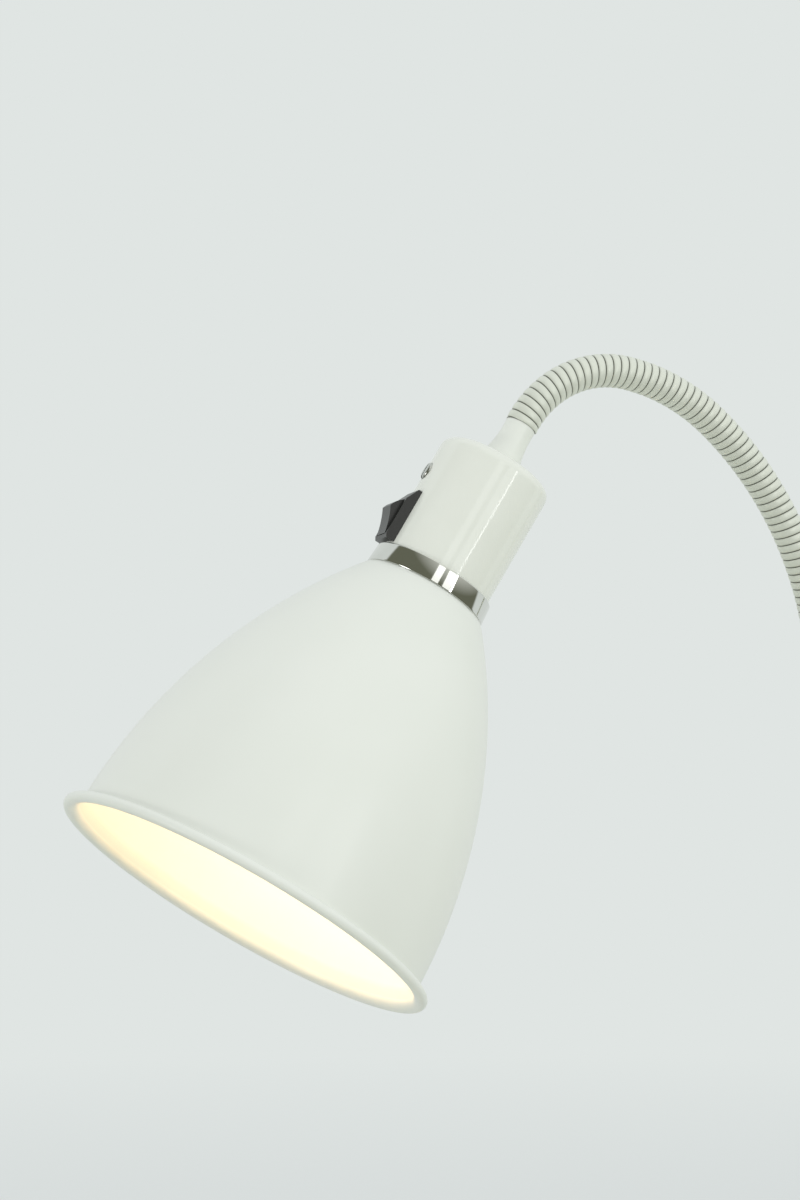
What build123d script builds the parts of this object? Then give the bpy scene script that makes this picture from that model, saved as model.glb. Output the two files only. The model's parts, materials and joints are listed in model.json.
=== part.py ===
from build123d import *
import os
from math import cos, degrees, radians, sin, sqrt

# Clip on reading lamp: a spring clip, a wound flexible neck and a lamp head with a bell shade.
# Millimetres. The neck bends in the XZ plane and +Z is up. The origin is on the underside of the
# upper pad, in the middle of its grip, where the top face of a shelf lies. The shelf comes in
# from +X, and the neck carries the head over towards -X.

# ---- driving dimensions: the clip
CLIP_WIDTH = 36.0
CLIP_WALL = 2.4
SIDE_GAP = 0.3              # between the walls of the two levers
GRIP_LENGTH = 32.0
PAD_THICK = 3.2
PAD_GAP = 0.4               # between the closed pads
ROOF_Z = 26.0
ROOF_THICK = 2.6
BELLY_Z = 6.5               # underside of the upper lever's box
COVER_THICK = 1.6
BOX_X = (-58.0, -17.0)      # the box that holds the terminals
PIVOT_X = -42.0
PIVOT_Z = -PAD_GAP / 2
PIN_R = 2.5
UPPER_EAR_R, LOWER_EAR_R = 8.0, 6.2
INLET_X, INLET_Z = -50.0, 16.0
INLET_BORE_R = 3.2
CLIP_LEAD_TOP = 15.5        # where the lead's cores part, in the box

# ---- driving dimensions: the neck
NECK_X = -26.0
NECK_R = 4.6
NECK_BORE_R = 3.4
LEAD_R = 2.3
LEAD_START = 5.0            # a lead starts this far past a bend centre,
LEAD_STOP = 1.8             # and stops this far short of the next
JOINT_GAP = 0.15            # between a ball end and its cup
SOCKET_TOP_Z = 41.0
STRAIGHT_TOP_Z = 184.0
FIRST_BEND_Z, SECOND_BEND_Z = 66.0, 124.0
WIDE_R, WIDE_TURN = 100.0, 49.4      # the neck leaves the vertical on a wide arc,
MIDDLE_R, MIDDLE_TURN = 58.0, 29.0   # tightens,
TIGHT_R, TIGHT_TURN = 30.0, 69.0     # and turns over the top on a tight one
TIGHT_STEP = 28.65                   # degrees of the tight arc between bend centres
NECK_TAIL = 1.7

# ---- driving dimensions: the head, as heights above the shade's mouth along its axis
SHADE_TOP = 98.0
RING_TOP = 103.7
HOUSING_TOP = 139.1
SEAM = 151.9                # where the neck meets the ferrule
SHADE_WALL = 0.8
SHADE_ARC_R = 157.9         # the bell's side is one arc
SHADE_ARC_HEIGHT = 1.0
SHADE_ARC_RADIUS = -107.1
BEAD_R = 1.5
BEAD_PITCH_R = 53.4
HOLDER_R = 13.0             # threaded skirt of the lampholder
HOUSING_R, HOUSING_WALL = 16.1, 1.8
THREAD_R = 3.95             # M8 nipples
CORE_BORE_R = 2.7
SWITCH_HEIGHT = 112.35
SWITCH_TURN = -10.0         # about the head's axis, from the lamp's plane
ROCKER_Y = 3.8
ROCKER_AXLE = (-1.2, -1.0)
ROCKER_R = 5.85
SCREW_HEIGHT = 127.1

os.makedirs("parts", exist_ok=True)


def keep(name, piece):
    """Label a finished piece and write its file."""
    solids = piece.part
    solids.label = name
    export_step(solids, f"parts/{name}.step")


# ---- the neck's centre line, as places with a heading, both in the XZ plane
def onward(place, turn, radius):
    """The place reached from another along an arc that turns left by some degrees."""
    x, z, heading = place
    a, b = radians(heading), radians(heading + turn)
    return x + radius * (sin(b) - sin(a)), z - radius * (cos(b) - cos(a)), heading + turn


def ahead(place, distance):
    x, z, heading = place
    return x + distance * cos(radians(heading)), z + distance * sin(radians(heading)), heading


def run(place):
    """A place as a point and a direction in space."""
    x, z, heading = place
    return Vector(x, 0, z), Vector(cos(radians(heading)), 0, sin(radians(heading)))


base = (NECK_X, SOCKET_TOP_Z, 90.0)
wide_start = (NECK_X, STRAIGHT_TOP_Z, 90.0)
wide_middle = onward(wide_start, WIDE_TURN / 2, WIDE_R)
middle_start = onward(wide_start, WIDE_TURN, WIDE_R)
tight_start = onward(middle_start, MIDDLE_TURN, MIDDLE_R)
bends = [
    (NECK_X, FIRST_BEND_Z, 90.0),
    (NECK_X, SECOND_BEND_Z, 90.0),
    wide_start,
    wide_middle,
    middle_start,
    tight_start,
    onward(tight_start, TIGHT_STEP, TIGHT_R),
    onward(tight_start, 2 * TIGHT_STEP, TIGHT_R),
]
tight_end = onward(tight_start, TIGHT_TURN, TIGHT_R)
seam = ahead(tight_end, NECK_TAIL)
# each length of neck: where it starts, the radius it bends to (0 is straight), and its turn
lengths = [
    (base, 0, FIRST_BEND_Z - SOCKET_TOP_Z),
    (bends[0], 0, SECOND_BEND_Z - FIRST_BEND_Z),
    (bends[1], 0, STRAIGHT_TOP_Z - SECOND_BEND_Z),
    (bends[2], WIDE_R, WIDE_TURN / 2),
    (bends[3], WIDE_R, WIDE_TURN / 2),
    (bends[4], MIDDLE_R, MIDDLE_TURN),
    (bends[5], TIGHT_R, TIGHT_STEP),
    (bends[6], TIGHT_R, TIGHT_STEP),
    (bends[7], TIGHT_R, TIGHT_TURN - 2 * TIGHT_STEP),
]

# ---- the head's frame: local z runs from the mouth to the cap, local x looks out of the switch
seam_point, seam_heading = run(seam)
HEAD_UP = seam_heading * -1
in_plane = Vector(-HEAD_UP.Z, 0, HEAD_UP.X)
HEAD_X = in_plane * cos(radians(SWITCH_TURN)) + Vector(0, -1, 0) * sin(radians(SWITCH_TURN))
MOUTH = seam_point - HEAD_UP * SEAM
HEAD = Plane(origin=MOUTH, x_dir=HEAD_X, z_dir=HEAD_UP)
HEAD_SECTION = Plane(origin=MOUTH, x_dir=HEAD_X, z_dir=HEAD_X.cross(HEAD_UP))
HEAD_AXIS = Axis(MOUTH, HEAD_UP)
SWITCH = Plane(
    origin=MOUTH + HEAD_X * HOUSING_R + HEAD_UP * SWITCH_HEIGHT, x_dir=HEAD_UP, z_dir=HEAD_X
)
SWITCH_SIDE = Plane(origin=SWITCH.origin, x_dir=HEAD_UP, z_dir=HEAD_UP.cross(HEAD_X))
SCREW = Plane(origin=MOUTH + HEAD_UP * SCREW_HEIGHT, x_dir=HEAD_UP, z_dir=HEAD_X)
NECK_BASE = Plane(origin=(NECK_X, 0, 0))
BASE_SECTION = Plane(origin=(NECK_X, 0, 0), x_dir=(1, 0, 0), z_dir=(0, -1, 0))
BASE_AXIS = Axis((NECK_X, 0, 0), (0, 0, 1))
PIVOT = Plane(origin=(PIVOT_X, 0, PIVOT_Z), x_dir=(1, 0, 0), z_dir=(0, -1, 0))


def turned(outline, section=HEAD_SECTION, axis=HEAD_AXIS):
    """A piece turned about an axis from a closed outline of (radius, height) corners."""
    with BuildPart() as piece:
        with BuildSketch(section):
            with BuildLine():
                Polyline(*outline, close=True)
            make_face()
        revolve(axis=axis)
    return piece


def tube(low, high, inner, outer, section=HEAD_SECTION, axis=HEAD_AXIS):
    return turned([(inner, low), (outer, low), (outer, high), (inner, high)], section, axis)


def hex_nut(plane, low, high, across_flats, hole_r):
    with BuildPart() as nut:
        with BuildSketch(plane.offset(low)):
            RegularPolygon(across_flats / 2, 6, major_radius=False)
            Circle(hole_r, mode=Mode.SUBTRACT)
        extrude(amount=high - low)
        flats = nut.edges().filter_by(GeomType.LINE)
        chamfer(flats.group_by(Axis(plane.origin, plane.z_dir))[-1], 0.4)
    return nut


def wire(plane, points, bend_r, wire_r):
    """An insulated core that follows straight runs with rounded corners, flat in a plane."""
    with BuildPart() as core:
        with BuildLine(plane) as route:
            if len(points) > 2:
                FilletPolyline(*points, radius=bend_r)
            else:
                Line(*points)
        with BuildSketch(Plane(origin=route.line @ 0, z_dir=route.line % 0)):
            Circle(wire_r)
        sweep(path=route.line)
    return core


# ================================================================ the lamp head
def bell_r(height, inset=0.0):
    """Radius of the bell's side at a height, or of a surface set in from it."""
    return SHADE_ARC_RADIUS + sqrt((SHADE_ARC_R - inset) ** 2 - (height - SHADE_ARC_HEIGHT) ** 2)


LIP = 4.5                   # the side flares into the bead below this height
FLANGE_LOW = SHADE_TOP - SHADE_WALL
with BuildPart() as shade:
    with BuildSketch(HEAD_SECTION):
        with BuildLine():
            middle = SHADE_TOP / 2
            top_r = bell_r(SHADE_TOP)
            outside = ThreePointArc(
                (top_r, SHADE_TOP), (bell_r(middle), middle), (bell_r(LIP), LIP)
            )
            inside = ThreePointArc(
                (bell_r(LIP, SHADE_WALL), LIP),
                (bell_r(middle, SHADE_WALL), middle),
                (bell_r(FLANGE_LOW, SHADE_WALL), FLANGE_LOW),
            )
            Polyline(
                outside @ 1,
                (BEAD_PITCH_R - BEAD_R + 0.4, BEAD_R + 0.5),
                (BEAD_PITCH_R, BEAD_R),
                (BEAD_PITCH_R - 0.9, 0.4),
                inside @ 0,
            )
            Polyline(
                inside @ 1,
                (HOLDER_R + 0.3, FLANGE_LOW),
                (HOLDER_R + 0.3, SHADE_TOP),
                outside @ 0,
            )
        make_face()
        with Locations((BEAD_PITCH_R, BEAD_R)):
            Circle(BEAD_R)
    revolve(axis=HEAD_AXIS)
keep("shade", shade)

# the chrome ring is clamped between the shade and the lampholder's flange
ring_low_r, ring_top_r, ring_lip = 17.55, 17.2, 1.5
ring = turned([
    (HOLDER_R + 1.0, SHADE_TOP),
    (ring_low_r - 0.3, SHADE_TOP),
    (ring_low_r, SHADE_TOP + 0.3),
    (ring_top_r, RING_TOP - 0.3),
    (ring_top_r - 0.3, RING_TOP),
    (HOLDER_R + 0.1, RING_TOP),
    (HOLDER_R + 0.1, RING_TOP - ring_lip),
    (HOLDER_R + 1.0, RING_TOP - ring_lip),
])
keep("chrome_ring", ring)

# housing: a cup over the lampholder, with the switch's window and a spot face for the screw
ROOF = 2.0
HOUSING_INNER_R = HOUSING_R - HOUSING_WALL
BODY_T, BODY_Y = (-7.4, 6.3), 4.7
SCREW_HEAD_R, SCREW_SEAT, SCREW_HEAD_H = 2.5, 15.4, 1.3
with BuildPart() as housing:
    with BuildSketch(HEAD.offset(RING_TOP)):
        Circle(HOUSING_R)
    extrude(amount=HOUSING_TOP - RING_TOP)
    fillet(housing.edges().group_by(Axis(MOUTH, HEAD_UP))[-1], 3.0)
    with BuildSketch(HEAD.offset(RING_TOP)):
        Circle(HOUSING_INNER_R)
    extrude(amount=HOUSING_TOP - ROOF - RING_TOP, mode=Mode.SUBTRACT)
    with BuildSketch(HEAD.offset(RING_TOP)):
        Circle(THREAD_R + 0.1)
    extrude(amount=HOUSING_TOP - RING_TOP, mode=Mode.SUBTRACT)
    with BuildSketch(SWITCH.offset(-6)):
        with Locations(((BODY_T[0] + BODY_T[1]) / 2, 0)):
            Rectangle(BODY_T[1] - BODY_T[0] + 0.1, 2 * BODY_Y + 0.1)
    extrude(amount=8, mode=Mode.SUBTRACT)
    with BuildSketch(SCREW):
        Circle(1.6)
    extrude(amount=HOUSING_R + 1, mode=Mode.SUBTRACT)
    with BuildSketch(SCREW.offset(SCREW_SEAT)):
        Circle(SCREW_HEAD_R + 0.1)
    extrude(amount=1, mode=Mode.SUBTRACT)
keep("socket_housing", housing)

# lampholder: a threaded skirt down through the ring and shade, and a flange inside the housing
HOLDER_LOW, HOLDER_FLANGE_TOP = 76.0, 104.8
SHELL_R = 8.1
holder = turned([
    (9.6, HOLDER_LOW),
    (HOLDER_R, HOLDER_LOW),
    (HOLDER_R, RING_TOP),
    (HOUSING_INNER_R - 0.2, RING_TOP),
    (HOUSING_INNER_R - 0.2, HOLDER_FLANGE_TOP),
    (0, HOLDER_FLANGE_TOP),
    (0, HOLDER_FLANGE_TOP - 2.0),
    (SHELL_R, HOLDER_FLANGE_TOP - 2.0),
    (SHELL_R, HOLDER_LOW + 3.0),
    (9.6, HOLDER_LOW + 3.0),
])
keep("lampholder_body", holder)
keep("lampholder_shell", tube(HOLDER_LOW + 3.5, 98.5, 7.3, SHELL_R))
contact = turned([(0, 101.5), (2.2, 101.5), (4.5, 102.2), (4.5, 102.8), (0, 102.8)])
keep("lampholder_contact", contact)
keep("shade_nut", tube(FLANGE_LOW - 5.0, FLANGE_LOW, HOLDER_R + 0.05, 16.6))

# bulb: glass ball, plastic collar, screw cap and tip
CAP_LOW, CAP_HIGH, TIP_HIGH = 77.5, 99.5, 101.5
BALL_R, BALL_HEIGHT = 22.5, 49.0
COLLAR_LOW = 62.0
GLASS_WALL = 1.2
cut_height = COLLAR_LOW - BALL_HEIGHT
ball_cut_r = sqrt(BALL_R**2 - cut_height**2)
hollow_r = BALL_R - GLASS_WALL
hollow_cut_r = sqrt(hollow_r**2 - cut_height**2)


def ball_arc(radius, cut_r):
    """A meridian of the ball from its lowest point round to the collar."""
    angle = radians(-30)
    belly = (radius * cos(angle), BALL_HEIGHT + radius * sin(angle))
    return ThreePointArc((0, BALL_HEIGHT - radius), belly, (cut_r, COLLAR_LOW))


with BuildPart() as glass:
    with BuildSketch(HEAD_SECTION):
        with BuildLine():
            bowl = ball_arc(BALL_R, ball_cut_r)
            hollow = ball_arc(hollow_r, hollow_cut_r)
            Line(bowl @ 1, hollow @ 1)
            Line(hollow @ 0, bowl @ 0)
        make_face()
    revolve(axis=HEAD_AXIS)
keep("bulb_glass", glass)
with BuildPart() as collar:
    with BuildSketch(HEAD_SECTION):
        with BuildLine():
            flank = ThreePointArc((ball_cut_r, COLLAR_LOW), (12.2, 69.5), (8.2, CAP_LOW))
            Polyline(flank @ 1, (0, CAP_LOW), (0, COLLAR_LOW), flank @ 0)
        make_face()
    revolve(axis=HEAD_AXIS)
keep("bulb_collar", collar)
keep("bulb_cap", turned([(0, CAP_LOW), (7.0, CAP_LOW), (7.0, 97.5), (4.0, CAP_HIGH), (0, CAP_HIGH)]))
keep("bulb_tip", turned([(0, CAP_HIGH), (2.4, CAP_HIGH), (2.0, TIP_HIGH), (0, TIP_HIGH)]))

# ---- rocker switch, drawn in its own section: along the head, then out from the housing
FRAME_T, FRAME_Y = 7.85, 5.25
AXLE_R = 0.8
with BuildPart() as switch_body:
    with BuildSketch(SWITCH_SIDE):
        with BuildLine():
            Polyline(
                (-FRAME_T, -1.1), (FRAME_T, -1.1), (FRAME_T, 0.25), (4.1, 2.1),
                (-6.9, 2.1), (-FRAME_T, 1.6), close=True,
            )
        make_face()
    extrude(amount=FRAME_Y, both=True)
    with BuildSketch(HEAD.offset(RING_TOP - 2)):
        Circle(HOUSING_R + 0.02)
    extrude(amount=24, mode=Mode.SUBTRACT)
    with BuildSketch(SWITCH_SIDE):
        with Locations(((BODY_T[0] + BODY_T[1]) / 2, -4.6)):
            Rectangle(BODY_T[1] - BODY_T[0], 11.2)
    extrude(amount=BODY_Y, both=True)
    with BuildSketch(SWITCH_SIDE):
        with Locations(ROCKER_AXLE):
            Circle(ROCKER_R + 0.15)
        with Locations((BODY_T[0] - 2, -5)):
            Rectangle(4.9, 20, mode=Mode.SUBTRACT)
        with Locations((-4.0, 0.5)):
            Rectangle(5.9, 6.0)
    extrude(amount=ROCKER_Y + 0.15, both=True, mode=Mode.SUBTRACT)
    with BuildSketch(SWITCH_SIDE):
        with Locations(ROCKER_AXLE):
            Circle(AXLE_R + 0.05)
    extrude(amount=BODY_Y - 0.3, both=True, mode=Mode.SUBTRACT)
keep("switch_body", switch_body)

with BuildPart() as rocker:
    with BuildSketch(SWITCH_SIDE):
        with BuildLine():
            ax, ah = ROCKER_AXLE
            tip_angle, heel_angle = radians(73), radians(-15)

            def on_rocker(angle):
                return ax + ROCKER_R * cos(angle), ah + ROCKER_R * sin(angle)

            nose = ThreePointArc(on_rocker(heel_angle), on_rocker(radians(30)), on_rocker(tip_angle))
            dish = ThreePointArc(nose @ 1, (-3.3, 3.05), (-6.8, 2.2))
            Polyline(dish @ 1, (-6.8, 0.8), (-5.4, -1.6), (-2.0, -4.0), (1.5, -4.0), nose @ 0)
        make_face()
    extrude(amount=ROCKER_Y, both=True)
    with BuildSketch(SWITCH_SIDE):
        with Locations(ROCKER_AXLE):
            Circle(AXLE_R)
    extrude(amount=BODY_Y - 0.4, both=True)
keep("switch_rocker", rocker)

TAB_T, TAB_DEPTH = 3.5, (-10.2, -14.5)
with BuildPart() as terminals:
    with BuildSketch(SWITCH.offset(TAB_DEPTH[1])):
        with Locations((-TAB_T, 0), (TAB_T, 0)):
            Rectangle(0.8, 4.8)
    extrude(amount=TAB_DEPTH[0] - TAB_DEPTH[1])
keep("switch_terminals", terminals)

# ---- bridge: a strap with two legs on the lampholder and a tab for the housing's screw
BRIDGE_TOP = HOUSING_TOP - ROOF
BRIDGE_THICK = 1.2
with BuildPart() as bridge:
    with BuildSketch(HEAD.offset(BRIDGE_TOP - BRIDGE_THICK)):
        Rectangle(9, 26)
        with Locations((6.5, 0)):
            Rectangle(13, 7)
        Circle(THREAD_R + 0.1, mode=Mode.SUBTRACT)
    extrude(amount=BRIDGE_THICK)
    with BuildSketch(HEAD.offset(HOLDER_FLANGE_TOP)):
        with Locations((0, 12.4), (0, -12.4)):
            Rectangle(9, BRIDGE_THICK)
    extrude(amount=BRIDGE_TOP - HOLDER_FLANGE_TOP)
    with BuildSketch(HEAD.offset(SCREW_HEIGHT - 3.5)):
        with Locations((12.4, 0)):
            Rectangle(BRIDGE_THICK, 7)
    extrude(amount=BRIDGE_TOP - SCREW_HEIGHT + 3.5)
    with BuildSketch(SCREW.offset(10)):
        Circle(1.5)
    extrude(amount=5, mode=Mode.SUBTRACT)
keep("holder_bridge", bridge)

with BuildPart() as housing_screw:
    with BuildSketch(SCREW.offset(10.5)):
        Circle(1.45)
    extrude(amount=SCREW_SEAT - 10.5)
    with BuildSketch(SCREW.offset(SCREW_SEAT)):
        Circle(SCREW_HEAD_R)
    extrude(amount=SCREW_HEAD_H)
    fillet(housing_screw.edges().group_by(Axis(MOUTH, HEAD_X))[-1], 0.7)
    with BuildSketch(SCREW.offset(SCREW_SEAT + 0.6)):
        Rectangle(2 * SCREW_HEAD_R + 1, 0.8)
    extrude(amount=2, mode=Mode.SUBTRACT)
keep("housing_screw", housing_screw)

# ---- the ferrule and what holds it
NIPPLE_LOW, NIPPLE_HIGH = 128.0, 147.0
SPIGOT, SPIGOT_R = 3.0, NECK_BORE_R - 0.2
FOOT_R, FERRULE_R = 5.9, 4.3
keep("head_nipple", tube(NIPPLE_LOW, NIPPLE_HIGH, CORE_BORE_R, THREAD_R))
keep("head_washer", tube(BRIDGE_TOP - 2.2, BRIDGE_TOP - 1.2, THREAD_R + 0.1, 7.0))
keep("head_nut", hex_nut(HEAD, BRIDGE_TOP - 6.2, BRIDGE_TOP - 2.2, 12.0, THREAD_R + 0.02))
with BuildPart() as ferrule:
    with BuildSketch(HEAD_SECTION):
        with BuildLine():
            flare = ThreePointArc(
                (FOOT_R, HOUSING_TOP + 0.4), (4.85, 143.5), (FERRULE_R, SEAM - 0.3)
            )
            Polyline(
                flare @ 1,
                (4.1, SEAM),
                (SPIGOT_R, SEAM),
                (SPIGOT_R, SEAM + SPIGOT),
                (CORE_BORE_R, SEAM + SPIGOT),
                (CORE_BORE_R, NIPPLE_HIGH),
                (THREAD_R + 0.02, NIPPLE_HIGH),
                (THREAD_R + 0.02, HOUSING_TOP),
                (FOOT_R, HOUSING_TOP),
                flare @ 0,
            )
        make_face()
    revolve(axis=HEAD_AXIS)
keep("head_ferrule", ferrule)

# ---- cores in the head: live to the switch, on to the holder, and neutral to the holder
CORE_R = 1.0
LEAD_LOW = NIPPLE_LOW - 2.0
tab_inner = SWITCH_HEIGHT + TAB_T + 0.4
tab_outer = SWITCH_HEIGHT - TAB_T - 0.4
keep("lead_live", wire(
    HEAD_SECTION, [(1.25, LEAD_LOW), (1.25, 123.0), (3.2, 120.0), (3.2, tab_inner)], 1.5, CORE_R
))
keep("lead_switched", wire(HEAD_SECTION, [(3.2, tab_outer), (3.2, HOLDER_FLANGE_TOP)], 0, CORE_R))
keep("lead_neutral", wire(
    HEAD_SECTION, [(-1.25, LEAD_LOW), (-1.25, 121.0), (-7.0, 115.0), (-7.0, HOLDER_FLANGE_TOP)],
    3.0, CORE_R,
))


# ================================================================ the neck
def follow(place, radius, amount):
    """One edge of the neck's line, in the XZ plane: straight if the radius is 0."""
    x, z, heading = place
    toward = (cos(radians(heading)), sin(radians(heading)))
    if radius:
        return JernArc(start=(x, z), tangent=toward, radius=radius, arc_size=amount)
    return Line((x, z), (x + toward[0] * amount, z + toward[1] * amount))


def neck_length(index):
    """A hollow length: a cup where it meets the one below, a ball end for the one above."""
    place, radius, amount = lengths[index]
    point, heading = run(place)
    last = index == len(lengths) - 1
    with BuildPart() as piece:
        with BuildLine(Plane.XZ) as route:
            follow(place, radius, amount)
            if last:
                follow(tight_end, 0, NECK_TAIL)
        with BuildSketch(Plane(origin=point, z_dir=heading)):
            Circle(NECK_R)
        sweep(path=route.line)
        if not last:
            ball_point, ball_heading = run(bends[index])
            with Locations(Location(ball_point)):
                Sphere(NECK_R)
            with BuildSketch(Plane(origin=ball_point, z_dir=ball_heading)):
                Circle(NECK_BORE_R)
            extrude(amount=NECK_R + 1, mode=Mode.SUBTRACT)
        if index:
            with Locations(Location(point)):
                Sphere(NECK_R + JOINT_GAP, mode=Mode.SUBTRACT)
        with BuildSketch(Plane(origin=point, z_dir=heading)):
            Circle(NECK_BORE_R)
        sweep(path=route.line, mode=Mode.SUBTRACT)
    return piece


def neck_lead(index):
    """The sheathed lead inside one length of neck, stopped short of the bend centres."""
    place, radius, amount = lengths[index]
    first, last = index == 0, index == len(lengths) - 1
    start = place
    if not first:
        skipped = degrees(LEAD_START / radius) if radius else LEAD_START
        start = onward(place, skipped, radius) if radius else ahead(place, skipped)
        amount -= skipped
    if not last:
        amount -= degrees(LEAD_STOP / radius) if radius else LEAD_STOP
    with BuildPart() as piece:
        with BuildLine(Plane.XZ) as route:
            if first:
                follow((NECK_X, CLIP_LEAD_TOP, 90.0), 0, SOCKET_TOP_Z - CLIP_LEAD_TOP + amount)
            else:
                follow(start, radius, amount)
            if last:
                follow(tight_end, 0, NECK_TAIL + SEAM - LEAD_LOW)
        with BuildSketch(Plane(origin=route.line @ 0, z_dir=route.line % 0)):
            Circle(LEAD_R)
        sweep(path=route.line)
    return piece


for number in range(len(lengths)):
    keep(f"neck_tube_{number}", neck_length(number))
    keep(f"neck_lead_{number}", neck_lead(number))

# ---- what holds the neck on the clip
keep("neck_socket", turned([
    (8.5, ROOF_Z), (8.5, ROOF_Z + 1.4), (7.9, ROOF_Z + 2.0), (6.1, ROOF_Z + 2.6), (5.4, 36.0),
    (5.1, SOCKET_TOP_Z - 0.5), (4.6, SOCKET_TOP_Z),
    (SPIGOT_R, SOCKET_TOP_Z), (SPIGOT_R, SOCKET_TOP_Z + SPIGOT),
    (CORE_BORE_R, SOCKET_TOP_Z + SPIGOT), (CORE_BORE_R, 35.0),
    (THREAD_R + 0.02, 35.0), (THREAD_R + 0.02, ROOF_Z),
], BASE_SECTION, BASE_AXIS))
roof_low = ROOF_Z - ROOF_THICK
keep("clip_nipple", tube(16.0, 35.0, CORE_BORE_R, THREAD_R, BASE_SECTION, BASE_AXIS))
keep("clip_washer", tube(roof_low - 1.0, roof_low, THREAD_R + 0.1, 7.0, BASE_SECTION, BASE_AXIS))
keep("clip_nut", hex_nut(NECK_BASE, roof_low - 5.0, roof_low - 1.0, 12.0, THREAD_R + 0.02))

# ================================================================ the clip
NOSE_X = GRIP_LENGTH / 2
HALF = CLIP_WIDTH / 2
INNER_Y = HALF - CLIP_WALL
LOWER_Y = INNER_Y - SIDE_GAP
CLAMP_Y = 9.5
CLAMP_XY = [(INLET_X - 5.6, CLAMP_Y), (INLET_X + 5.6, CLAMP_Y)]
COVER_XY = [(-54.2, -10.8), (-20.6, 11.6)]
SEAT_Z = PAD_THICK


def slab(outline, half_width, mode=Mode.ADD):
    """A side outline in the XZ plane, made as wide each way as stated."""
    with BuildSketch(Plane.XZ) as side_view:
        with BuildLine():
            Polyline(*outline, close=True)
        make_face()
    extrude(side_view.sketch, amount=half_width, both=True, mode=mode)


BROW_X, BROW_R, BROW_TURN = -12.0, 30.0, 67.0       # the roof curves down to the nose,
HANDLE_X, HANDLE_R, HANDLE_TURN = -60.0, 95.0, 27.0   # and up along the handle
with BuildPart() as upper_lever:
    with BuildSketch(Plane.XZ):
        with BuildLine():
            brow = JernArc((BROW_X, ROOF_Z), (1, 0), BROW_R, -BROW_TURN)
            handle = JernArc((HANDLE_X, ROOF_Z), (-1, 0), HANDLE_R, -HANDLE_TURN)
            Line(brow @ 0, handle @ 0)
            tail = handle @ 1 + Vector(-1.5, -3.6)
            under = ThreePointArc(tail, (-84.0, 20.5), (-63.0, 10.0))
            Line(handle @ 1, tail)
            Polyline(
                under @ 1, (-60.0, BELLY_Z), (BOX_X[1], BELLY_Z), (-NOSE_X, SEAT_Z),
                (NOSE_X, SEAT_Z), brow @ 1,
            )
        make_face()
    extrude(amount=HALF, both=True)
    side_edges = upper_lever.faces().filter_by(Axis.Y).edges()
    crown = [e for e in side_edges if (e @ 0.5).Z > 17 and (e @ 0.5).X > -100]
    fillet([e for e in crown if (e @ 0.5).X > -80 or (e @ 0.5).Z > 27.5], 2.6)
    slab([(BOX_X[0], BELLY_Z - 1), (BOX_X[1], BELLY_Z - 1), (BOX_X[1], 23.4), (BOX_X[0], 23.4)],
         INNER_Y, Mode.SUBTRACT)
    slab([(-12.0, SEAT_Z - 1), (11.0, SEAT_Z - 1), (11.0, 8.5), (2.5, 17.0), (-12.0, 21.5)],
         HALF - 4.0, Mode.SUBTRACT)
    with BuildSketch(Plane.XZ):
        with BuildLine():
            ceiling = JernArc(
                (HANDLE_X - 1.5, ROOF_Z - CLIP_WALL), (-1, 0), HANDLE_R + CLIP_WALL, -23.0
            )
            Polyline(ceiling @ 1, (-99.5, 4.0), (HANDLE_X - 1.5, 4.0), ceiling @ 0)
        make_face()
    extrude(amount=INNER_Y, both=True, mode=Mode.SUBTRACT)
    for side in (-1, 1):
        with BuildSketch(Plane.XZ.offset(side * (HALF + INNER_Y) / 2)):
            with BuildLine():
                Polyline((-54, BELLY_Z), (-50, 0), (-34, 0), (-27, BELLY_Z), (-27, 9), (-54, 9),
                         close=True)
            make_face()
            with Locations((PIVOT_X, PIVOT_Z)):
                Circle(UPPER_EAR_R)
        extrude(amount=CLIP_WALL / 2, both=True)
    with BuildSketch(PIVOT):
        Circle(PIN_R + 0.02)
    extrude(amount=HALF + 1, both=True, mode=Mode.SUBTRACT)
    with BuildSketch(NECK_BASE.offset(20)):
        Circle(THREAD_R + 0.1)
    extrude(amount=10, mode=Mode.SUBTRACT)
    for spots, post_low in ((CLAMP_XY, 12.8), (COVER_XY, BELLY_Z + COVER_THICK)):
        with BuildSketch(Plane.XY.offset(post_low)):
            with Locations(*spots):
                Circle(2.2)
                Circle(1.3, mode=Mode.SUBTRACT)
        extrude(amount=roof_low - post_low)
    saddle_low = INLET_Z + INLET_BORE_R         # the clamp presses the cord up against this
    with BuildSketch(Plane.XY.offset(saddle_low)):
        with Locations((INLET_X, CLAMP_Y)):
            Rectangle(6.0, 4.4)
    extrude(amount=roof_low - saddle_low)
    with BuildSketch(Plane(origin=(INLET_X, 0, INLET_Z), x_dir=(-1, 0, 0), z_dir=(0, 1, 0))):
        Circle(5.0)
    extrude(amount=HALF + 1, mode=Mode.SUBTRACT)
keep("upper_lever", upper_lever)

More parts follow.
